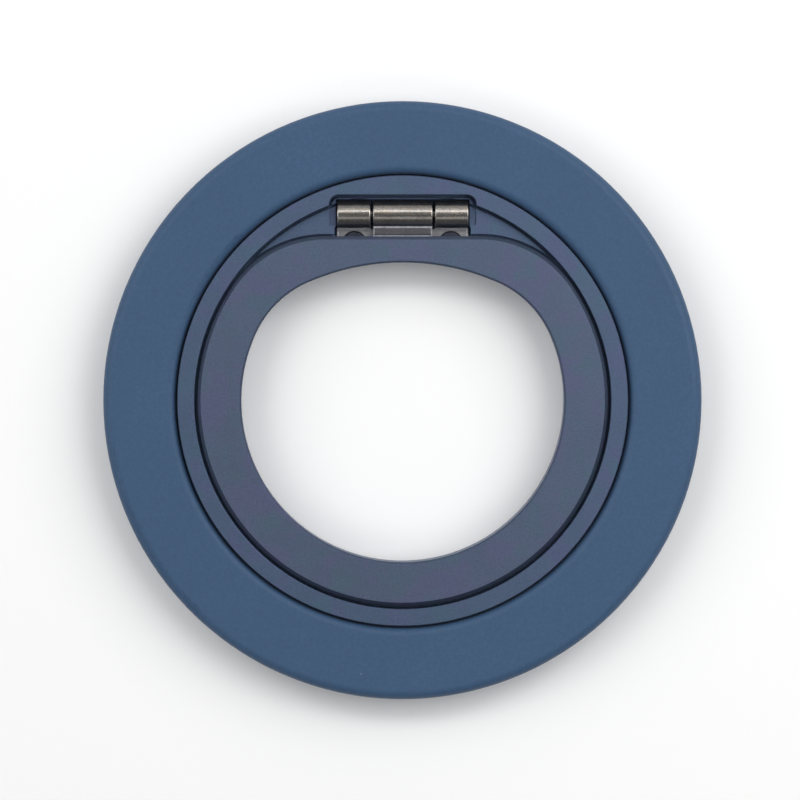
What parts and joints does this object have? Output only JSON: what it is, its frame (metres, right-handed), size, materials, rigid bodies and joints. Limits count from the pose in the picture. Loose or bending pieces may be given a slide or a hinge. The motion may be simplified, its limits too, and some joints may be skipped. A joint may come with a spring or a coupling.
{
  "type": "magnetic phone ring stand",
  "caption": "Flat round stand that holds to a phone by magnets; its soft blue outer ring carries a swivel base with a hinged metal finger ring that folds out.",
  "frame": {"origin": "on the axis of the outer ring, at the face of the grip pad that sits on the phone", "axes": "+Z away from the phone, through the thickness; +Y from the centre towards the hinge; +X along the hinge, to the right as seen from above"},
  "size_m": [0.058, 0.058, 0.0052],
  "materials": {
    "skin": "matte silicone, soft touch",
    "pad": "matte silicone, slightly tacky",
    "carrier": "moulded, satin",
    "adhesive": "clear film",
    "magnet": "nickel plated",
    "shunt": "cold rolled",
    "washer": "low-friction film",
    "anodised": "bead blasted and anodised",
    "hinge_steel": "gunmetal, tumbled",
    "screw_steel": "black oxide",
    "pin_steel": "ground",
    "spring_steel": "blued spring steel"
  },
  "bodies": {
    "outer_ring": {"outer_skin": "skin", "carrier_ring": "carrier", "steel_shunt_ring": "shunt", "back_plate": "carrier", "pad_adhesive": "adhesive", "grip_pad": "pad", "magnet_01": "magnet", "magnet_02": "magnet", "magnet_03": "magnet", "magnet_04": "magnet", "magnet_05": "magnet", "magnet_06": "magnet", "magnet_07": "magnet", "magnet_08": "magnet", "magnet_09": "magnet", "magnet_10": "magnet", "magnet_11": "magnet", "magnet_12": "magnet", "magnet_13": "magnet", "magnet_14": "magnet", "magnet_15": "magnet", "magnet_16": "magnet", "magnet_17": "magnet", "magnet_18": "magnet", "upper_glide_washer": "washer", "lower_glide_washer": "washer"},
    "base": {"swivel_base": "anodised", "fixed_leaf": "hinge_steel", "fixed_leaf_screws": "screw_steel", "hinge_pin": "pin_steel"},
    "flip_ring": {"d_ring": "anodised", "moving_leaf": "hinge_steel", "moving_leaf_screws": "screw_steel", "friction_sleeve": "spring_steel"}
  },
  "joints": [
    {"name": "swivel", "type": "hinge", "parent": "outer_ring", "child": "base", "pos_m": [0, 0, 0.0014], "axis": [0, 0, 1], "continuous": true},
    {"name": "ring_flip", "type": "hinge", "parent": "base", "child": "flip_ring", "pos_m": [0, 0.01805, 0.00385], "axis": [-1, 0, 0], "range_deg": [0, 115]}
  ]
}
